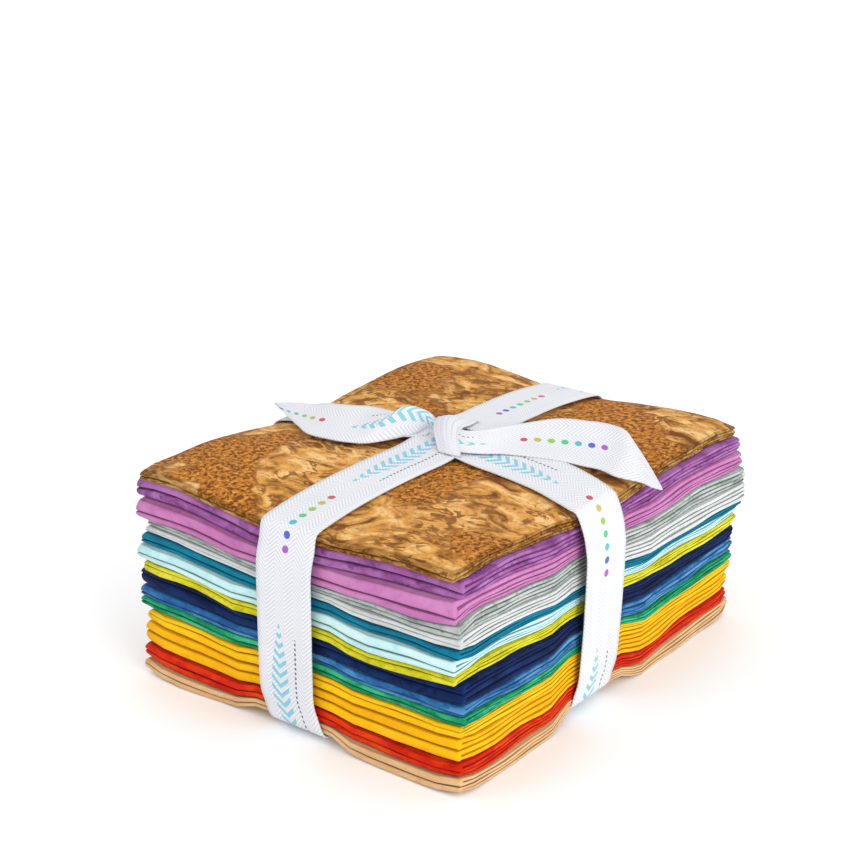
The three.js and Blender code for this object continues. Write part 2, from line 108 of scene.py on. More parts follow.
# Each cut from the bottom up: its thickness at those places, the share of the upper pair of strips,
# how far its edges stand out (south, east at the front, east at the back, north, west at the back,
# west at the front), how strong its pale and its dark blotches are, and its dye.
cuts = [
    {"name": "tan", "thick": (3.8, 2.8, 4.9, 4.6, 4.1, 3, 5, 4.4), "upper": 0.5,
     "out": (1.1, 1.3, 1.6, 1.4, 1.4, 1.8), "blotch": (0.5, 0.25),
     "base": (216, 173, 125), "light": (232, 199, 154), "dark": (181, 134, 88)},
    {"name": "red", "thick": (5, 4.3, 4.2, 3.7, 5.3, 4, 3.6, 4.3), "upper": 0.6,
     "out": (0.2, 0.6, 1.2, 0.3, 2.2, 2.8), "blotch": (0.6, 0.5),
     "base": (207, 31, 2), "light": (234, 84, 4), "dark": (156, 11, 2)},
    {"name": "gold", "thick": (7.2, 6, 6.4, 7, 6.6, 6, 5.8, 6.3), "upper": 0.44,
     "out": (-0.3, 0.4, 0.9, 0.8, 1.2, 2.2), "blotch": (0.5, 0.3),
     "base": (240, 174, 3), "light": (246, 194, 18), "dark": (218, 142, 0)},
    {"name": "yellow", "thick": (4.2, 4.8, 4.1, 3.8, 4.4, 4, 4, 4.1), "upper": 0.34,
     "out": (-0.7, 0.6, 1.5, 1.2, 0, 1.2), "blotch": (0.5, 0.3),
     "base": (242, 186, 7), "light": (246, 208, 40), "dark": (224, 158, 2)},
    {"name": "green", "thick": (3.5, 3.1, 2.8, 2.6, 2.6, 2.4, 3.4, 3.4), "upper": 0.68,
     "out": (-1.2, 1.2, 2.2, 1, 2.4, 4.6), "blotch": (0.7, 0.7),
     "base": (15, 148, 98), "light": (82, 207, 150), "dark": (4, 98, 58)},
    {"name": "blue", "thick": (3.9, 3.1, 3.2, 3.4, 3.2, 3.9, 4.5, 4.1), "upper": 0.72,
     "out": (-0.9, 0.8, 1.9, 1.8, 2, 3.4), "blotch": (0.7, 0.7),
     "base": (44, 108, 165), "light": (103, 166, 211), "dark": (18, 61, 121)},
    {"name": "navy", "thick": (5.8, 4.3, 4.8, 5.1, 7, 5.4, 3.8, 4.8), "upper": 0.38,
     "out": (-0.9, 0.8, 2.3, 1.4, 1.6, 3.6), "blotch": (0.5, 0.7),
     "base": (3, 25, 72), "light": (18, 58, 121), "dark": (1, 7, 33)},
    {"name": "lime", "thick": (3.9, 3.4, 3.8, 3.4, 3.1, 3.6, 3.7, 3.8), "upper": 0.32,
     "out": (0.9, -0.7, 2.1, 2.6, -1.5, -0.3), "blotch": (0.5, 0.6),
     "base": (210, 203, 29), "light": (232, 226, 86), "dark": (147, 140, 12)},
    {"name": "aqua", "thick": (5, 5.2, 5.5, 5.6, 2.4, 2.4, 3, 4), "upper": 0.66,
     "out": (1.2, -1, 1.9, 2, 0.4, 2.2), "blotch": (0.5, 0.3),
     "base": (192, 228, 229), "light": (217, 239, 239), "dark": (132, 198, 210)},
    {"name": "teal", "thick": (3.5, 3.2, 2.7, 2.5, 3, 2.4, 2.6, 3.1), "upper": 0.68,
     "out": (0.4, -0.4, 3.2, 3, -0.4, 1.4), "blotch": (0.5, 0.5),
     "base": (3, 118, 147), "light": (20, 147, 174), "dark": (1, 82, 109)},
    {"name": "cream", "thick": (2.2, 2.2, 2.4, 2.4, 5.4, 5.4, 6.2, 3.8), "upper": 0.46,
     "out": (0, 0.1, 4.5, 3.6, -1.2, -0.2), "blotch": (0.6, 0.4),
     "base": (205, 209, 208), "light": (220, 222, 224), "dark": (170, 178, 174)},
    {"name": "sage", "thick": (2.3, 2.2, 2.8, 3, 4.9, 4.6, 5, 3.9), "upper": 0.54,
     "out": (-0.3, 0.1, 4.1, 3.4, -1.3, -0.1), "blotch": (0.7, 0.8),
     "base": (168, 176, 171), "light": (203, 209, 207), "dark": (110, 127, 121)},
    {"name": "pink", "thick": (6.1, 5.8, 7.4, 7.8, 4.7, 4.5, 5.3, 5.8), "upper": 0.64,
     "out": (0.6, -0.5, 3.4, 2.4, 0.6, 2.4), "blotch": (0.6, 0.4),
     "base": (190, 117, 172), "light": (209, 146, 194), "dark": (162, 87, 147)},
    {"name": "purple", "thick": (6.3, 5.8, 5.8, 5.8, 5.3, 4.9, 4.4, 5.3), "upper": 0.56,
     "out": (-0.9, 0.7, 2.4, 2, 1.8, 3.2), "blotch": (0.6, 0.7),
     "base": (150, 84, 150), "light": (188, 133, 193), "dark": (92, 39, 100)},
    # the brown's turned edges on the sides of the stack are darkened with painted shade
    {"name": "brown", "thick": (3.4, 3, 3.8, 3.5, 2.9, 3.5, 3.5, 3.5), "upper": 0.56,
     "out": (1, -0.8, 0.8, 1, -1.4, -1.2), "blotch": (1, 1), "edgeShade": 0.45,
     "base": (186, 122, 52), "light": (236, 190, 122), "dark": (110, 60, 14)},
]

folds = {
    "panelSteps": 16,  # grid steps across one panel of the first fold
    "stripSteps": 30,  # and along one strip of the second
    "sideTurnSteps": 7,
    "endTurnSteps": 9,
    "sideTurnStep": 0.3,  # cloth in one step of a turn, first and second fold
    "endTurnStep": 0.6,
    "sideTurnDepth": 0.62,  # how far the turns bulge
    "endTurnDepth": 1.9,
    "roundness": 0.36,  # 1 is a half round, less is boxier
    "cutWander": 0.4,  # how far the edges of a whole cut, and of one strip, wander
    "stripWander": 0.2,
    "cutWanderLength": 43,  # and over what length, for a cut, a strip's side and a strip's end
    "sideWanderLength": 31,
    "endWanderLength": 37,
    "sideEdgeStart": 0.55,  # where the cloth begins to follow its wandering edge
    "endEdgeStart": 0.6,
    "ribbonHold": 0.85,  # how much of the wander the ribbon holds back
    "stripStep": 0.16,  # how unequal the strips of a cut are, everywhere and from place to place
    "stripWave": 0.14,
    "stripWaveLength": 46,
    "surfaceWave": 0.22,
    "surfaceWaveLength": 34,
    "cornerTuck": 1.2,  # how far a corner is rounded off
    "tuckAcross": 0.92,  # where the rounding begins
    "tuckAlong": 0.935,
    "tuckMiddle": 0.7,  # how much less it is at half the cut's height
    "tuckVary": 0.12,
    # painted shade in the creases: the depth at which it starts to fade
    "creviceStart": 0.02,
    "creviceReach": 0.17,  # width of the painted shade where two folds meet
    "topClear": 0.07,  # upper part of the cut that has no such painted shade
    "edgeReach": 0.5,  # how soon a turn takes the painted shade of a cut's edge
    "clothThick": 0.19,
}


def smooth(low, high, value):
    t = np.clip((value - low) / (high - low), 0, 1)
    return t * t * (3 - 2 * t)


def lerp(a, b, t):
    return a + (b - a) * t


def wave(a, b, seed, length):
    # soft irregular ripple between about -1 and 1: a few sine waves at odd angles
    total = 0
    for k in range(4):
        angle = seed * 2.399 + k * 1.93
        turn = (a * math.cos(angle) + b * math.sin(angle)) * 2 * math.pi / length * (0.72 + 0.31 * k)
        total = total + np.sin(turn + seed * 5.17 + k * 2.31)
    return total / 2.4


def seededWave(a, seeds, length):
    # the same along one line, with a seed for each point
    total = 0
    for k in range(3):
        total = total + np.sin(a * 2 * math.pi / length * (0.6 + 0.45 * k) + seeds * (3.7 + 1.9 * k) + k)
    return total / 2.2


def crossLine(x):
    # the middle of the ribbon that runs across: it slants on the right half only
    return stack["crossSlant"] * np.maximum(x, 0)


def pressAlong(x):
    return 1 - smooth(stack["grooveHalf"], stack["lobeStart"], np.abs(x))


def pressAcross(x, y):
    return 1 - smooth(stack["grooveHalf"], stack["lobeStart"], np.abs(y - crossLine(x)))


def pinch(distance):
    reach = stack["pinchEnd"] - stack["grooveHalf"]
    return (1 - np.clip((distance - stack["grooveHalf"]) / reach, 0, 1)) ** stack["pinchPower"]


def topHeight(x, y):
    halfW = stack["width"] / 2
    halfD = stack["depth"] / 2
    u = np.abs(x) / halfW
    v = np.abs(y) / halfD
    join = stack["pinchJoin"]
    pinches = pinch(np.abs(x)) ** join + pinch(np.abs(y - crossLine(x))) ** join
    pinched = np.minimum(np.cbrt(pinches), 1)
    crowns = stack["crowns"]
    east = smooth(-halfW, halfW, x)
    south = lerp(crowns["left"], crowns["front"], east)
    north = lerp(crowns["back"], crowns["right"], east)
    crown = lerp(south, north, smooth(-halfD, halfD, y))
    fall = np.where(y > 0, stack["northFall"], stack["edgeFall"])
    power = stack["edgePower"]
    lobe = crown * (1 - stack["edgeFall"] * u ** power) * (1 - fall * v ** power)
    lane = lerp(stack["laneRise"], -stack["grooveDepth"], np.minimum(np.maximum(u, v), 1) ** power)
    droop = stack["cornerDroop"] * (u * v) ** stack["cornerPower"]
    return stack["height"] - droop + lerp(lobe, lane, pinched)


def bottomHeight(x, y):
    u = np.abs(x) * 2 / stack["width"]
    v = np.abs(y) * 2 / stack["depth"]
    power = stack["liftPower"]
    along = pressAlong(x) * (stack["bandRoom"] + stack["bandLift"] * np.minimum(v, 1) ** power)
    across = pressAcross(x, y) * (stack["bandRoom"] + stack["bandLift"] * np.minimum(u, 1) ** power)
    return np.maximum(along, across) + stack["cornerCurl"] * np.minimum(u * v, 1.05) ** power


def shareBelow(index, x, y):
    # part of the height that lies below this cut: the nearest given place counts most
    total = 0
    weights = 0
    for spot, (placeX, placeY) in enumerate(stack["places"].values()):
        whole = sum(cut["thick"][spot] for cut in cuts)
        below = sum(cut["thick"][spot] for cut in cuts[:index])
        weight = 1 / ((x - placeX) ** 2 + (y - placeY) ** 2 + stack["placeReach"] ** 2) ** 2
        total = total + weight * below / whole
        weights = weights + weight
    return total / weights


def cutHeight(index, x, y):
    flat = lerp(bottomHeight(x, y), topHeight(x, y), shareBelow(index, x, y))
    ripple = 0 if index == 0 else folds["surfaceWave"] * wave(x, y, index + 3, folds["surfaceWaveLength"])
    return flat + ripple


def stripShares(index, upper, x, y):
    # share of the cut's height taken by each of its four strips
    raw = []
    for k in range(4):
        pair = (upper if k > 1 else 1 - upper) / 2
        step = folds["stripStep"] * math.sin(index * 2.7 + k * 4.1)
        drift = folds["stripWave"] * wave(x, y, index * 4 + k, folds["stripWaveLength"])
        raw.append(pair * (1 + step + drift))
    whole = sum(raw)
    return [one / whole for one in raw]


def foldTrack(panels, steps, turnSteps):
    # stations along one fold: the place from -1 to 1, the level here and the level after the turn,
    # the turn's angle and the side that it is on
    track = []
    for number, (start, end, level) in enumerate(panels):
        last = number + 1 == len(panels)
        for step in range(steps + 1):
            t = step / steps
            track.append((lerp(start, end, t), level, level, 0.0, end if t > 0.5 else start))
        for step in range(1, 1 if last else turnSteps):
            track.append((end, level, panels[number + 1][2], math.pi * step / turnSteps, end))
    return np.array(track, float)


def flatLength(number, track, half, turnStep):
    # distance along the unfolded cloth, in metres
    steps = np.abs(np.diff(track[:, 0])) * half
    steps[steps == 0] = turnStep
    run = np.concatenate([[0], np.cumsum(steps)])
    return run[number] / 1000


def crevice(angle, radius):
    # painted shade: 1 where two folds touch, 0 on the crest of a fold
    depth = radius * (1 - np.abs(np.cos(angle)))
    return np.where(angle > 0, 1 - smooth(folds["creviceStart"], folds["creviceReach"], depth), 0)


def foldedPlaces(index, wide, deep):
    # where each grid point of the flat cut lies once it is folded: first in four across the width,
    # which makes a strip of four levels, then that strip in four along the depth
    across, levelA, levelB, sideAngle, side = wide.T
    along, stripA, _, endAngle, end = deep.T
    cut = cuts[index]
    southOut, eastFront, eastBack, northOut, westBack, westFront = cut["out"]
    halfW = stack["width"] / 2
    halfD = stack["depth"] / 2
    thick = cutHeight(index + 1, 0, 0) - cutHeight(index, 0, 0)

    # first fold: the level inside the strip, and how far the turn bulges
    level = lerp(levelA, levelB, (1 - np.cos(sideAngle)) / 2)
    span = np.abs(levelB - levelA) / 3
    bulge = folds["sideTurnDepth"] * span * np.sin(sideAngle) ** folds["roundness"]

    # second fold: even strips lie with level 0 down, odd ones the other way up
    start = np.where(stripA % 2 == 0, 4 * stripA + level + 0.5, 4 * stripA + 3.5 - level) / 16
    centre = (stripA + 1) / 4
    turning = endAngle > 0
    height = np.where(turning, centre - (centre - start) * np.cos(endAngle), start)
    swing = folds["endTurnDepth"] * np.abs(centre - start) * 4 * np.sin(endAngle) ** folds["roundness"]
    blend = np.where(turning, (1 - np.cos(endAngle)) / 2, 0)

    # the edges wander in and out, and are held in under the ribbon
    bothX = across * halfW
    bothY = along * halfD
    farY = np.where(end > 0, 1, -1)
    pair = np.where(turning, stripA, np.where(end < 0, stripA // 2 * 2, (stripA + 1) // 2 * 2 - 1))
    eastEdge = lerp(eastFront, eastBack, 0.5 + along / 2)
    westEdge = lerp(westFront, westBack, smooth(-1, 0, along))
    hold = folds["ribbonHold"]
    cutLength = folds["cutWanderLength"]
    wanderLow = seededWave(bothY, index * 4 + stripA, folds["sideWanderLength"])
    wanderHigh = seededWave(bothY, index * 4 + stripA + 1, folds["sideWanderLength"])
    sideWander = (folds["cutWander"] * seededWave(bothY, index + 3 * side, cutLength)
                  + folds["stripWander"] * lerp(wanderLow, wanderHigh, blend))
    sideEdge = np.where(side > 0, eastEdge, westEdge) + sideWander
    sideEdge = sideEdge * (1 - hold * pressAcross(side * halfW, bothY))
    endWander = (folds["cutWander"] * seededWave(bothX, 20 + index + 3 * farY, cutLength)
                 + folds["stripWander"] * seededWave(bothX, 70 + index * 5 + pair, folds["endWanderLength"]))
    endEdge = np.where(farY < 0, southOut, northOut) + endWander
    endEdge = endEdge * (1 - hold * pressAlong(bothX))
    sideHold = smooth(folds["sideEdgeStart"], 1, np.abs(across)) * (np.sign(across) == np.sign(side))
    endHold = smooth(folds["endEdgeStart"], 1, np.abs(along)) * (np.sign(along) == farY)

    # the corners are rounded off, most at the top and the bottom of a cut
    less = folds["tuckMiddle"] * np.sin(math.pi * np.clip(height, 0, 1))
    own = 1 - less + folds["tuckVary"] * np.sin(index * 7.3 + side * 1.7 + farY)
    atSide = smooth(folds["tuckAcross"], 1, np.abs(across))
    atEnd = smooth(folds["tuckAlong"], 1, np.abs(along))
    tuck = folds["cornerTuck"] * own * atSide * atEnd

    x = across * (halfW - folds["sideTurnDepth"]) + side * (sideEdge * sideHold + bulge - tuck)
    freeEnd = ((stripA == 0) | (stripA == 3)) & (farY > 0) & ~turning
    setBack = np.where(freeEnd, 0, folds["endTurnDepth"])
    y = along * (halfD - setBack * endHold) + farY * (endEdge * endHold + swing - tuck)

    # heights between the cuts below and above
    shares = stripShares(index, cut["upper"], x, y)
    filled = 0
    for k in range(4):
        filled = filled + shares[k] * np.clip(np.clip(height, 0, 1) * 4 - k, 0, 1)
    low = cutHeight(index, x, y) + (stack["pieceGap"] / 2 if index else 0)
    high = cutHeight(index + 1, x, y) - stack["pieceGap"] / 2
    z = low + (high - low) * filled

    # painted shade: a thin dark line where two folds of this cut touch, and none on its own top; the brown
    # also gets painted shade on its turned edges
    sideCreviceShade = np.where(turning, 0, crevice(sideAngle, thick / 8 * span))
    endCreviceShade = np.where(sideAngle > 0, 0, crevice(endAngle, thick * np.abs(centre - start)))
    paintedShadeMask = np.maximum(sideCreviceShade, endCreviceShade) * smooth(0, folds["topClear"], 1 - height)
    # painted shade on the turned edges, for the cut that has an edge shade
    onEdge = smooth(0, folds["edgeReach"], np.where(turning, np.sin(endAngle), np.sin(sideAngle)))
    return x, y, z, np.maximum(paintedShadeMask, cut.get("edgeShade", 0) * onEdge)


def foldedSheet(index):
    # panels of each fold: the place where it starts, the place where it ends, and its level
    widePanels = [(-1, 1, 0), (1, -1, 3), (-1, 1, 2), (1, -1, 1)]
    deepPanels = [(1, -1, 0), (-1, 1, 1), (1, -1, 2), (-1, 1, 3)]
    wide = foldTrack(widePanels, folds["panelSteps"], folds["sideTurnSteps"])
    deep = foldTrack(deepPanels, folds["stripSteps"], folds["endTurnSteps"])
    mesh = bmesh.new()
    bmesh.ops.create_grid(mesh, x_segments=len(wide) - 1, y_segments=len(deep) - 1, size=1)
    spot = np.array([v.co for v in mesh.verts])
    i = np.rint((spot[:, 0] + 1) / 2 * (len(wide) - 1)).astype(int)
    j = np.rint((spot[:, 1] + 1) / 2 * (len(deep) - 1)).astype(int)
    x, y, z, dark = foldedPlaces(index, wide[i], deep[j])
    flatU = flatLength(i, wide, stack["width"] / 2, folds["sideTurnStep"])
    flatV = flatLength(j, deep, stack["depth"] / 2, folds["endTurnStep"])
    uvLayer = mesh.loops.layers.uv.new("flatCloth")
    # the painted shade of creases and edges is kept in a mesh attribute
    paintedShadeLayer = mesh.verts.layers.float.new("crevice")
    for n, vert in enumerate(mesh.verts):
        vert.co = (x[n] / 1000, y[n] / 1000, z[n] / 1000)
        vert[paintedShadeLayer] = dark[n]
        for loop in vert.link_loops:
            loop[uvLayer].uv = (flatU[n], flatV[n])
    for face in mesh.faces:
        face.smooth = True
    return mesh


def makeObject(name, mesh, material):
    data = bpy.data.meshes.new(name)
    mesh.to_mesh(data)
    mesh.free()
    data.materials.append(material)
    made = bpy.data.objects.new(name, data)
    bpy.context.scene.collection.objects.link(made)
    return made


class Wire:
    # a node's output that can be used in sums
    def __init__(self, paint, socket):
        self.paint = paint
        self.socket = socket

    def output(self, number):
        return Wire(self.paint, self.socket.node.outputs[number])

    def __add__(self, other):
        return self.paint.sum("ADD", self, other)

    def __radd__(self, other):
        return self.paint.sum("ADD", other, self)

    def __sub__(self, other):
        return self.paint.sum("SUBTRACT", self, other)

    def __rsub__(self, other):
        return self.paint.sum("SUBTRACT", other, self)

    def __mul__(self, other):
        return self.paint.sum("MULTIPLY", self, other)

    def __rmul__(self, other):
        return self.paint.sum("MULTIPLY", other, self)

    def __truediv__(self, other):
        return self.paint.sum("DIVIDE", self, other)

    def __mod__(self, other):
        return self.paint.sum("FLOORED_MODULO", self, other)

    def __lt__(self, other):
        return self.paint.sum("LESS_THAN", self, other)

    def __gt__(self, other):
        return self.paint.sum("GREATER_THAN", self, other)

    def __abs__(self):
        return self.paint.sum("ABSOLUTE", self, 0)


class Paint:
    # one material and the nodes in it
    def __init__(self, name):
        self.material = bpy.data.materials.new(name)
        self.material.use_nodes = True
        self.tree = self.material.node_tree
        self.tree.nodes.clear()

    def node(self, kind, settings, inputs=None, out=0):
        made = self.tree.nodes.new(kind)
        for key, value in settings.items():
            if key == "stops":
                self.setStops(made.color_ramp, value)
            else:
                setattr(made, key, value)
        for key, value in (inputs or {}).items():
            if isinstance(value, Wire):
                self.tree.links.new(value.socket, made.inputs[key])
            else:
                made.inputs[key].default_value = value
        return Wire(self, made.outputs[out]) if made.outputs else None

    def setStops(self, ramp, stops):
        while len(ramp.elements) < len(stops):
            ramp.elements.new(0.5)
        for element, (place, shade) in zip(ramp.elements, stops):
            element.position = place
            element.color = (shade, shade, shade, 1)

    def sum(self, operation, a, b):
        return self.node("ShaderNodeMath", {"operation": operation}, {0: a, 1: b})

    def sine(self, a):
        return self.sum("SINE", a, 0)

    def blend(self, factor, a, b):
        # 6, 7 and out 2 are the colours of the Mix node
        return self.node("ShaderNodeMix", {"data_type": "RGBA"}, {0: factor, 6: a, 7: b}, out=2)

    def noise(self, where, size, detail, rough=0.5, distort=0.0):
        return self.node("ShaderNodeTexNoise", {}, {
            "Vector": where,
            "Scale": 1 / size,
            "Detail": detail,
            "Roughness": rough,
            "Distortion": distort,
        })

    def vector(self, operation, inputs):
        return self.node("ShaderNodeVectorMath", {"operation": operation}, inputs)

    def shift(self, where, by):
        return self.vector("ADD", {0: where, 1: by})

    def ramp(self, value, stops):
        return self.node("ShaderNodeValToRGB", {"stops": stops}, {0: value})

    def finish(self, inputs):
        shader = self.node("ShaderNodeBsdfPrincipled", {}, inputs)
        self.node("ShaderNodeOutputMaterial", {}, {"Surface": shader})
        return self.material


def colour(rgb):
    # screen colour from 0 to 255, as the linear colour of a socket
    parts = [c / 255 for c in rgb]
    return tuple(c / 12.92 if c <= 0.04045 else ((c + 0.055) / 1.055) ** 2.4 for c in parts) + (1.0,)


cotton = {
    "thread": 0.00042,  # pitch and height of the weave
    "weaveHeight": 0.00005,
    "patch": 0.019,  # sizes of the hand-dyed patches, blotches and specks
    "mottle": 0.0062,
    "speckle": 0.0015,
    "cutShift": (0.77, 1.31, 0),  # how far the pattern moves on from one cut to the next
    "paleStops": [(0.46, 0), (0.64, 1)],
    "darkStops": [(0.38, 1), (0.51, 0)],
    "speckStops": [(0.34, 1), (0.42, 0)],
    "speckStrength": 0.8,
    "threadShade": 0.1,  # how much of the weave shows in the colour, and how dark it is
    "threadTone": 0.75,
    "roughness": 0.85,
    "roughnessVary": 0.1,
    "bump": 0.6,  # strength, and the part that the specks have in it
    "speckleBump": 0.8,
    "specular": 0.12,
    "sheen": 0.03,
    "sheenRoughness": 0.5,
    "creviceShade": 0.38,  # painted shade where two folds meet: the dye's dark tone made darker, and how strong it is
    "creviceStrength": 0.88,
}


def clothGround(paint, index):
    # each cut reads the pattern at a place of its own
    where = paint.node("ShaderNodeUVMap", {"uv_map": "flatCloth"})
    return where, paint.shift(where, [index * step for step in cotton["cutShift"]])


def weave(paint, where):
    split = paint.node("ShaderNodeSeparateXYZ", {}, {0: where})
    turn = 2 * math.pi / cotton["thread"]
    return paint.sine(split * turn) * paint.sine(split.output(1) * turn)


def clothSurface(paint, cut, shade, where, speckle):
    threads = weave(paint, where)
    # painted shade: the mesh attribute marks creases between folds and the brown's turned edges, which are
    # darkened towards deep
    paintedShadeMask = paint.node("ShaderNodeAttribute", {"attribute_name": "crevice"}, out="Fac")
    deep = colour([c * cotton["creviceShade"] for c in cut["dark"]])
    thread = colour([c * cotton["threadTone"] for c in cut["base"]])
    shade = paint.blend((threads * 0.5 + 0.5) * cotton["threadShade"], shade, thread)
    shade = paint.blend(paintedShadeMask * cotton["creviceStrength"], shade, deep)
    bump = paint.node("ShaderNodeBump", {}, {
        "Strength": cotton["bump"],
        "Distance": cotton["weaveHeight"],
        "Height": threads + speckle * cotton["speckleBump"],
    })
    return paint.finish({
        "Base Color": shade,
        "Roughness": speckle * cotton["roughnessVary"] + cotton["roughness"],
        "Normal": bump,
        "Specular IOR Level": cotton["specular"],
        "Sheen Weight": cotton["sheen"],
        "Sheen Roughness": cotton["sheenRoughness"],
    })


def cottonFinish(cut, index):
    # hand-dyed cotton: pale clouds, dark blotches and fine specks
    paint = Paint("cotton_" + cut["name"])
    where, ground = clothGround(paint, index)
    patches = paint.noise(ground, cotton["patch"], 2.0, 0.5, 0.4)
    mottle = paint.noise(ground, cotton["mottle"], 4.0, 0.6, 0.8)
    speckle = paint.noise(ground, cotton["speckle"], 2.0, 0.5)
    pale, dark = cut["blotch"]
    paleMask = paint.ramp(patches * 0.65 + mottle * 0.35, cotton["paleStops"])
    darkMask = paint.ramp(patches * 0.35 + mottle * 0.5 + speckle * 0.15, cotton["darkStops"])
    specks = paint.ramp(mottle * 0.35 + speckle * 0.65, cotton["speckStops"])
    shade = paint.blend(paleMask * pale, colour(cut["base"]), colour(cut["light"]))
    shade = paint.blend(darkMask * dark, shade, colour(cut["dark"]))
    shade = paint.blend(specks * (dark * cotton["speckStrength"]), shade, colour(cut["dark"]))
    return clothSurface(paint, cut, shade, where, speckle)


batik = {
    "patch": 0.042,  # rough dark patches among smooth golden ones
    "streak": 0.013,
    "stretch": (1.0, 1.7, 1.0),
    "worm": 0.0062,  # size of the marks, and of the clusters in which they come
    "cluster": 0.022,
    "grain": 0.0014,
    "drift": 0.015,  # how far the dye has run, and over what size
    "driftSize": 0.03,
    "rough": (182, 114, 34),
    "roughPale": (222, 156, 74),
    "golden": (212, 152, 72),
    "patchStops": [(0.44, 1), (0.475, 0)],  # place on each pattern, and strength there
    "grainStops": [(0.43, 0), (0.51, 1)],
    "grainPaleStops": [(0.54, 0), (0.66, 0.8)],
    "grainDarkStops": [(0.36, 0.35), (0.48, 0)],
    "goldStops": [(0.34, 0), (0.49, 1)],
    "streakStops": [(0.5, 0), (0.62, 1)],
    "wormStops": [(0.43, 1), (0.49, 0)],
    "clusterStops": [(0.44, 0), (0.54, 1)],
    "wormStrength": 0.8,
    "rimPlace": 0.458,  # crisp rim round each patch
    "rimStops": [(0.0, 1), (0.014, 0)],
    "rimStrength": 0.5,
}


def batikFinish(cut, index):
    # brown batik: grainy dark patches with crisp rims, and smooth gold with pale streaks and clusters
    # of worm-like marks
    paint = Paint("cotton_" + cut["name"])
    where, ground = clothGround(paint, index)
    swirl = paint.node("ShaderNodeTexNoise", {}, {
        "Vector": ground, "Scale": 1 / batik["driftSize"], "Detail": 3.0}, out="Color")
    centred = paint.vector("SUBTRACT", {0: swirl, 1: (0.5, 0.5, 0.5)})
    drift = paint.vector("SCALE", {0: centred, "Scale": batik["drift"]})
    warped = paint.shift(ground, drift)
    stretched = paint.vector("MULTIPLY", {0: warped, 1: batik["stretch"]})
    patch = paint.noise(warped, batik["patch"], 4.0, 0.5, 0.3)
    streak = paint.noise(stretched, batik["streak"], 4.0, 0.6, 1.4)
    worm = paint.noise(stretched, batik["worm"], 3.0, 0.5, 1.6)
    cluster = paint.noise(ground, batik["cluster"], 2.0, 0.5)
    grain = paint.noise(ground, batik["grain"], 3.0, 0.6, 0.5)
    speckle = paint.noise(ground, cotton["speckle"], 2.0, 0.5)
    deep = colour(cut["dark"])

    # the rough patches, from dark to pale grains
    rough = paint.blend(paint.ramp(grain, batik["grainStops"]), deep, colour(batik["rough"]))
    rough = paint.blend(paint.ramp(grain, batik["grainPaleStops"]), rough, colour(batik["roughPale"]))

    # the smooth gold, with pale streaks and clustered marks
    gold = paint.blend(paint.ramp(streak, batik["goldStops"]), deep, colour(batik["golden"]))
    gold = paint.blend(paint.ramp(streak, batik["streakStops"]), gold, colour(cut["light"]))
    marks = paint.ramp(worm, batik["wormStops"]) * paint.ramp(cluster, batik["clusterStops"])
    gold = paint.blend(marks * batik["wormStrength"], gold, deep)

    shade = paint.blend(paint.ramp(patch, batik["patchStops"]), gold, rough)
    rim = paint.ramp(abs(patch - batik["rimPlace"]), batik["rimStops"])
    shade = paint.blend(rim * batik["rimStrength"], shade, deep)
    shade = paint.blend(paint.ramp(grain, batik["grainDarkStops"]), shade, deep)
    return clothSurface(paint, cut, shade, where, speckle)


for index, cut in enumerate(cuts):
    name = "fatQuarter" + cut["name"].capitalize()
    finish = batikFinish if cut["name"] == "brown" else cottonFinish
    cloth = makeObject(name, foldedSheet(index), finish(cut, index))
    wall = cloth.modifiers.new("clothThickness", "SOLIDIFY")
    wall.thickness = folds["clothThick"] / 1000
    wall.offset = 0
    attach(cloth, "root")
    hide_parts("fat_quarter_" + cut["name"])
print("folded cuts made:", len(cuts))

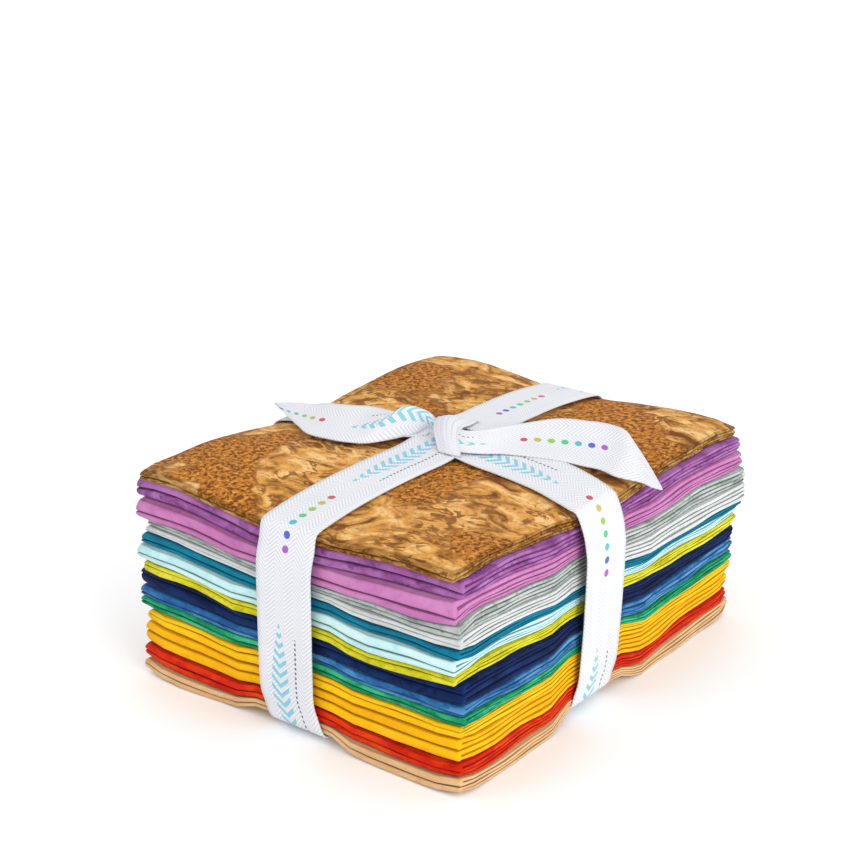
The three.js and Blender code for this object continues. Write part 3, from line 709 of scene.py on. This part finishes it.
ribbon = {
    "width": 19.4,
    "thick": 0.4,
    "clear": 0.5,  # least height of the ribbon's middle above the cloth
    "edgeMargin": 1,  # it is lifted clear only this far in from the edges of the stack
    "topMargin": 3,  # and from this far below the top upwards
    "frayOut": 0.5,  # how far the cut threads of a tail stand out or back, as parts of a step
    "frayBack": 0.2,
    "pleat": 0.13,
    # each band goes once round the stack, from the knot back to the knot:
    # distance, height, sideways shift, half width, rise of the + edge
    "alongBand": [
        (1, 69.8, 2.6, 8, 0), (-6, 67.8, 2.4, 9.2, 0), (-14, 66.4, 2, 9.7, 0),
        (-28, 66, 1.2, 9.7, 0), (-42, 65.5, 0.8, 9.7, 0), (-55, 64.7, 0.8, 9.7, 0),
        (-64, 63.6, 0.8, 9.7, 0), (-68.3, 63, 0.9, 9.7, 0), (-70.4, 61.8, 0.9, 9.7, 0),
        (-71.6, 57.5, 1.1, 9.7, 0), (-72.25, 52.5, 0.5, 9.7, 0), (-72.45, 47.5, 0.3, 9.7, 0),
        (-72.25, 32.5, 0, 9.7, 0), (-71.95, 22.5, -0.3, 9.7, 0), (-71.5, 12.5, -0.5, 9.7, 0),
        (-70.9, 7.5, 0.5, 9.7, 0), (-70.3, 3.2, 1.9, 9.7, 0), (-67.6, 1.7, 1.9, 9.7, 0),
        (-58, 0.7, 1.5, 9.7, 0), (-40, 0.35, 1, 9.7, 0), (40, 0.35, 0, 9.7, 0),
        (58, 0.7, 0, 9.7, 0), (67.6, 1.9, 0, 9.7, 0), (70.6, 3.4, 0, 9.7, 0), (71.6, 8, 0, 9.7, 0),
        (72.6, 18, 0, 9.7, 0), (73, 34, 0, 9.7, 0), (72.6, 50, 0, 9.7, 0), (71.4, 59, 0, 9.7, 0),
        (69.2, 62.6, 0, 9.7, 0), (65, 64, 0, 9.7, 0), (56, 65.2, 0, 9.7, 0), (44, 66.2, 0, 9.7, 0),
        (28, 66.9, 0.6, 9.7, 0), (16, 67.9, 2.2, 9.7, 0), (8, 69.5, 3, 9.4, 0),
        (2, 70.3, 3.4, 8.6, 0)],
    "acrossBand": [
        (3, 68.6, -0.8, 6, 0), (9, 67.4, -2.2, 8.6, 0.2), (17, 66.6, -2.4, 9.5, 0.6),
        (28, 66.3, -3, 9.7, 1), (41, 65.8, -4.8, 9.7, 1), (50, 65.2, -7.2, 9.7, 1),
        (55.4, 64.5, -8.6, 9.7, 0.6), (58.3, 63.2, -8.7, 9.7, 0), (59.9, 57.5, -7.5, 9.7, 0),
        (60.5, 52.5, -6.8, 9.7, 0), (60.7, 47.5, -6.4, 9.7, 0), (60.2, 32.5, -6.2, 9.7, 0),
        (59.7, 22.5, -6.2, 9.7, 0), (59.1, 12.5, -6.4, 9.7, 0), (58.1, 7.5, -7, 9.7, 0),
        (57.5, 4.2, -7.8, 9.7, 0), (54.6, 1.9, -7.8, 9.7, 0), (46, 0.75, -7, 9.7, 0),
        (30, 0.6, -4, 9.7, 0), (-30, 0.6, -1.5, 9.7, 0), (-46, 0.75, -1.5, 9.7, 0),
        (-54.6, 1.9, -1.5, 9.7, 0), (-57.9, 3.4, -1.5, 9.7, 0), (-59, 8, -1.5, 9.7, 0),
        (-60.2, 18, -1.5, 9.7, 0), (-60.6, 33, -1.5, 9.7, 0), (-60.2, 50, -1.5, 9.7, 0),
        (-58.9, 59.4, -1.5, 9.7, 0), (-56.8, 62.6, -1.6, 9.7, 0), (-53, 63.9, -1.8, 9.7, 0),
        (-44, 65.2, -2, 9.7, 0), (-32, 66, -2, 9.7, 0), (-18, 66.6, -1.6, 9, 0),
        (-8, 67.6, -0.6, 7, 0), (-3, 68.6, 0, 5, 0)],
    # each tail from the knot out: near edge, centre line, far edge
    "rightTail": [
        ((6.5, -8, 68.6), (5.8, -5, 70.6), (5, -2, 71.5)),
        ((11.6, -9.4, 68), (11, -6.4, 70), (10, -2.4, 71.8)),
        ((16.7, -5.9, 67.4), (15.4, -2.8, 69.8), (13.6, 1.8, 71.8)),
        ((21.6, -1.6, 67.2), (18.4, 2.2, 69), (15, 7.8, 71.4)),
        ((28.8, 1.8, 67), (23.6, 8.6, 68.9), (18.6, 15, 71.2)),
        ((36.2, 4.6, 66.8), (31, 13.6, 68.4), (25.1, 21.8, 72)),
        ((42.8, 7, 66), (38.6, 16.4, 68.4), (33.6, 24.4, 72.4)),
        ((48, 8.8, 65.4), (44.6, 17.7, 68.4), (39.9, 25.4, 72.6)),
        ((53.9, 8, 65), (51.1, 16.9, 68.5), (46.1, 24.6, 72.4)),
        ((59.9, 11.2, 63.8), (55.4, 17.6, 67.2), (50.4, 22.8, 70.3)),
        ((63.3, 11.9, 62.9), (60.4, 15.6, 65), (57, 19.2, 67)),
        ((65.7, 13.5, 62.2), (65.2, 14, 62.5), (64.6, 14.6, 62.9))],
    "leftTail": [
        ((-1, -3, 68.4), (0.5, -1, 71.4), (0, 2.5, 71)),
        ((-5.1, -1.1, 68.4), (-2.8, -1.8, 71.4), (-3, 2, 70)),
        ((-7.6, -5, 67.8), (-7.4, -0.6, 73.4), (-7, 4.5, 69.6)),
        ((-10.5, -10.5, 67.2), (-11.4, -5, 75.2), (-12.4, 2.5, 70.6)),
        ((-14.5, -17.6, 67), (-15, -9.9, 72.4), (-19.2, -0.9, 71)),
        ((-19.6, -20.5, 66.9), (-22.2, -11.4, 69.6), (-25.5, -2.2, 71.4)),
        ((-25.8, -22.3, 67), (-29, -13, 68.6), (-31.6, -3.8, 71)),
        ((-34, -22.7, 67), (-38, -13.6, 68), (-39.5, -3.9, 69.6)),
        ((-40.2, -19.7, 67), (-45.5, -12.4, 67.2), (-46.4, -3.5, 68)),
        ((-44, -17.4, 66.6), (-51, -11.4, 66.8), (-56, -5.2, 67)),
        ((-50, -13.5, 66.2), (-56.6, -9.8, 66.4), (-61.6, -6.7, 66.2))],
    # strip over the knot, from the front to the back: west edge, middle, east edge
    "wrap": [
        ((6, -11.2, 67.1), (10.2, -11.6, 67.3), (13.6, -10.9, 67.2)),
        ((3.6, -9.2, 68.8), (7.8, -9.6, 69.6), (11.8, -8.8, 68.6)),
        ((0.4, -6.2, 70.6), (4.6, -6, 71.9), (8.4, -4.8, 70.6)),
        ((-2.2, -2.6, 71.6), (1.8, -1.6, 73.2), (6.4, -0.6, 71.2)),
        ((-3.8, 1.2, 71.8), (0.4, 2.6, 72.8), (6, 3.8, 70.9)),
        ((-5, 5, 70.4), (-0.8, 6.4, 71.4), (4.8, 7.6, 70.2)),
        ((-5.2, 7.6, 68.8), (-1.4, 9.2, 70), (3.8, 10.4, 69.8)),
        ((-5, 9, 68.4), (-1.2, 10.6, 69.2), (3.6, 12, 69.3))],
}


def through(points, count):
    # smooth curve through the given rows, sampled evenly between them
    points = np.array(points, float)
    padded = np.concatenate([[2 * points[0] - points[1]], points, [2 * points[-1] - points[-2]]])
    made = []
    for step in range(count + 1):
        t = step / count * (len(points) - 1)
        k = min(int(t), len(points) - 2)
        f = t - k
        a, b, c, d = padded[k], padded[k + 1], padded[k + 2], padded[k + 3]
        square = (2 * a - 5 * b + 4 * c - d) * f ** 2
        cube = (3 * b - a - 3 * c + d) * f ** 3
        made.append(0.5 * (2 * b + (c - a) * f + square + cube))
    return np.array(made)


def liftClear(fine):
    # nothing that lies on top of the stack sinks into the cloth
    x, y, z = fine[..., 0], fine[..., 1], fine[..., 2]
    insideX = np.abs(x) < stack["width"] / 2 - ribbon["edgeMargin"]
    insideY = np.abs(y) < stack["depth"] / 2 - ribbon["edgeMargin"]
    over = insideX & insideY & (z > stack["height"] - ribbon["topMargin"])
    fine[..., 2] = np.where(over, np.maximum(z, topHeight(x, y) + ribbon["clear"]), z)
    return fine


def addTape(mesh, rows, steps, across, startLength=0.0, cut=False, pleat=0.0):
    # a length of ribbon through rows of points that go from one edge to the other
    fine = through(rows, steps)
    fine = liftClear(np.array([through(row, across) for row in fine]))
    made = bmesh.ops.create_grid(mesh, x_segments=steps, y_segments=across, size=1)["verts"]
    centre = fine[:, across // 2]
    lengths = np.linalg.norm(np.diff(centre, axis=0), axis=1)
    run = np.concatenate([[0], np.cumsum(lengths)]) + startLength
    uvLayer = mesh.loops.layers.uv["alongRibbon"]
    spots = {}
    for vert in made:
        i = round((vert.co.x + 1) / 2 * steps)
        j = round((vert.co.y + 1) / 2 * across)
        place = fine[i, j].copy()
        crease = math.sin(j * 1.7) + math.sin(j * 0.9 + i * 0.08)
        place[2] += pleat * crease * math.sin(math.pi * i / steps)
        if cut and i == steps:
            place += (fine[i, j] - fine[i - 1, j]) * (ribbon["frayOut"] if j % 2 else -ribbon["frayBack"])
        spots[vert] = (j / across * ribbon["width"] / 1000, run[i] / 1000)
        vert.co = place / 1000
    for face in {face for vert in made for face in vert.link_faces}:
        face.smooth = True
        for loop in face.loops:
            loop[uvLayer].uv = spots[loop.vert]


def bandRows(path, alongY):
    rows = []
    for distance, height, shift, half, rise in path:
        row = []
        for w in (-1, 0, 1):
            side = shift + w * half
            level = height + w * rise / 2
            row.append((side, distance, level) if alongY else (distance, side, level))
        rows.append(row)
    return rows


ribbonPrint = {
    "rib": 0.00125,  # pitch of the herringbone weave, and the width of one of its chevrons
    "chevron": 0.0066,
    "period": 0.1,  # the print repeats at this length
    "stem": 0.0078,  # places across the ribbon, from its - edge
    "dotLine": 0.0136,
    "sprigLength": 0.044,
    "sprigHalf": 0.0032,
    "leafPitch": 0.0031,
    "leafSlant": 0.9,
    "leafFill": 0.24,
    "dotPitch": 0.0015,
    "dotLength": 0.0008,
    "dotHalf": 0.00028,
    "dotStart": 0.004,  # the dotted line begins after the sprig does, and stops before it
    "dotStop": 0.006,
    "beadStart": 0.052,
    "beadPitch": 0.004,
    "beadCount": 7,
    "beadRadius": 0.0011,
    "hueSpan": 0.92,
    "aqua": (104, 184, 204),
    "ink": (40, 44, 52),
    "sprigStrength": 0.85,
    "inkStrength": 0.9,
    "white": (224, 224, 227),
    "cooler": (217, 218, 222),
    "coolStops": [(0.3, 0), (0.7, 1)],
    "paintedValleyShade": (172, 176, 192),  # painted shade between the ribs of the weave
    "paintedValleyShadeStops": [(0.1, 0.5), (0.6, 0)],
    "grainSize": 0.0006,
    "tintSize": 0.02,
    "bump": 0.5,
    "weaveHeight": 0.00006,
    "roughness": 0.55,
    "specular": 0.25,
    "sheen": 0.05,
    "sheenRoughness": 0.4,
}


def ribbonFinish(values):
    # white herringbone tape, printed with a leafy sprig, a fine dotted line and a row of coloured beads
    paint = Paint("ribbonWhite")
    where = paint.node("ShaderNodeUVMap", {"uv_map": "alongRibbon"})
    side = paint.node("ShaderNodeSeparateXYZ", {}, {0: where})
    along = side.output(1)
    middle = ribbon["width"] / 2000
    fromMiddle = abs(side - middle)
    zigzag = abs(side % values["chevron"] - values["chevron"] / 2)
    twill = paint.sine((along + zigzag) * (2 * math.pi / values["rib"]))
    grain = paint.noise(where, values["grainSize"], 2.0)
    tint = paint.noise(where, values["tintSize"], 2.0)
    cool = paint.ramp(tint, values["coolStops"])
    shade = paint.blend(cool, colour(values["white"]), colour(values["cooler"]))
    # painted shade in the valleys between the ribs of the herringbone
    paintedValleyShade = paint.ramp(twill * 0.5 + 0.5, values["paintedValleyShadeStops"])
    shade = paint.blend(paintedValleyShade, shade, colour(values["paintedValleyShade"]))

    # the sprig: slanting leaves either side of a stem, narrowing to both ends
    turn = along % values["period"]
    fromStem = abs(side - values["stem"])
    spread = values["sprigHalf"] * paint.sine(turn * (math.pi / values["sprigLength"]))
    slanted = turn + fromStem * values["leafSlant"]
    leaf = abs(slanted % values["leafPitch"] / values["leafPitch"] - 0.5) < values["leafFill"]
    sprig = leaf * (fromStem < spread) * (turn < values["sprigLength"])
    shade = paint.blend(sprig * values["sprigStrength"], shade, colour(values["aqua"]))

    # the dotted line beside it
    dots = ((abs(side - values["dotLine"]) < values["dotHalf"])
            * (along % values["dotPitch"] < values["dotLength"])
            * (turn > values["dotStart"]) * (turn < values["sprigLength"] - values["dotStop"]))
    shade = paint.blend(dots * values["inkStrength"], shade, colour(values["ink"]))

    # the beads, each of the next hue
    beads = turn - values["beadStart"]
    number = paint.sum("FLOOR", beads / values["beadPitch"], 0)
    offset = (beads % values["beadPitch"]) - values["beadPitch"] / 2
    around = fromMiddle * fromMiddle + offset * offset
    bead = (around < values["beadRadius"] ** 2) * (number > -0.5) * (number < values["beadCount"] - 0.5)
    hue = paint.node("ShaderNodeCombineColor", {"mode": "HSV"}, {
        0: number / values["beadCount"] * values["hueSpan"], 1: 0.95, 2: 0.45})
    shade = paint.blend(bead * values["inkStrength"], shade, hue)

    bump = paint.node("ShaderNodeBump", {}, {
        "Strength": values["bump"],
        "Distance": values["weaveHeight"],
        "Height": twill + grain * 0.5,
    })
    return paint.finish({
        "Base Color": shade,
        "Roughness": grain * 0.1 + values["roughness"],
        "Normal": bump,
        "Specular IOR Level": values["specular"],
        "Sheen Weight": values["sheen"],
        "Sheen Roughness": values["sheenRoughness"],
    })


def makeRibbon(values):
    mesh = bmesh.new()
    mesh.loops.layers.uv.new("alongRibbon")
    # the start lengths give each stretch its own part of the print
    addTape(mesh, bandRows(values["alongBand"], True), steps=230, across=12)
    addTape(mesh, bandRows(values["acrossBand"], False), steps=200, across=12, startLength=400)
    addTape(mesh, values["rightTail"], steps=66, across=24, startLength=30, cut=True)
    addTape(mesh, values["leftTail"], steps=66, across=24, startLength=210, cut=True)
    addTape(mesh, values["wrap"], steps=40, across=36, startLength=81, pleat=values["pleat"])
    tie = makeObject("tieRibbon", mesh, ribbonFinish(ribbonPrint))
    wall = tie.modifiers.new("ribbonThickness", "SOLIDIFY")
    wall.thickness = values["thick"] / 1000
    wall.offset = 0
    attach(tie, "root")
    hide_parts("tie_ribbon")


makeRibbon(ribbon)
print("ribbon tied")

studio = {
    "worldStrength": 1.03,
    "keyPlace": (1.4, -0.28, 0.45),
    "keyPower": 13.5,
    "fillPlace": (-0.7, -0.9, 0.9),
    "fillPower": 3.0,
    "lightSize": 1.2,
    "aim": (0, 0, 0.03),
    "floorHalf": 3,
    "floorShade": 0.97,
    "floorGrain": 0.2,
}


def makeFloor(values):
    mesh = bmesh.new()
    bmesh.ops.create_grid(mesh, x_segments=1, y_segments=1, size=values["floorHalf"])
    paint = Paint("studioFloor")
    shade = values["floorShade"]
    where = paint.node("ShaderNodeTexCoord", {}, {}, out="Object")
    grain = paint.noise(where, values["floorGrain"], 3.0)
    finish = paint.finish({"Base Color": (shade, shade, shade, 1), "Roughness": grain * 0.1 + 0.6})
    floor = makeObject("studioFloor", mesh, finish)


def makeLight(name, place, power):
    data = bpy.data.lights.new(name, "AREA")
    data.size = studio["lightSize"]
    data.energy = power
    made = bpy.data.objects.new(name, data)
    made.location = place
    made.rotation_mode = "QUATERNION"
    made.rotation_quaternion = (Vector(place) - Vector(studio["aim"])).to_track_quat("Z", "Y")
    bpy.context.scene.collection.objects.link(made)


def makeWorld(values):
    world = bpy.data.worlds.new("studioWorld")
    world.use_nodes = True
    background = world.node_tree.nodes["Background"]
    background.inputs["Color"].default_value = (1, 1, 1, 1)
    background.inputs["Strength"].default_value = values["worldStrength"]
    bpy.context.scene.world = world
    bpy.context.scene.view_settings.view_transform = "Standard"


makeFloor(studio)
makeLight("keyLight", studio["keyPlace"], studio["keyPower"])
makeLight("fillLight", studio["fillPlace"], studio["fillPower"])
makeWorld(studio)
print("floor and light set")
